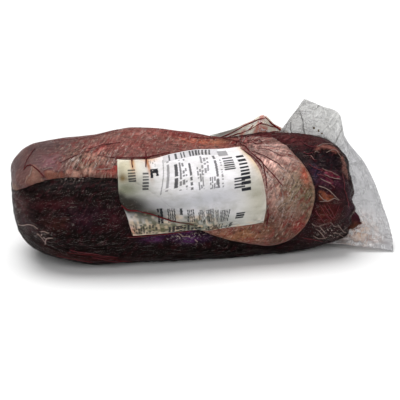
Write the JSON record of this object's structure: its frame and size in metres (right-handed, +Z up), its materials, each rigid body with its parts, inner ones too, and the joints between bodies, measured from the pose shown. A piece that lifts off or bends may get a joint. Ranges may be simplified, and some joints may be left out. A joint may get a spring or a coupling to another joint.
{
  "type": "raw beef top blade",
  "caption": "Raw beef top blade in a clear shrunk vacuum bag: pale blade meat laid slantwise over dark meat, with a wavy paper label and the flat crumpled end of the bag.",
  "frame": {"origin": "on the floor under the middle of the meat, in the flat patch that the bag rests on", "axes": "+X along the meat towards the flat open end of the bag, -Y the side with the label, +Z up"},
  "size_m": [0.3856, 0.1448, 0.1471],
  "materials": {
    "bagged_meat": "clear film shrunk onto wet raw beef",
    "label_paper": "satin label stock, creased"
  },
  "bodies": {
    "root": {"bag": "bagged_meat", "label": "label_paper"}
  },
  "joints": []
}
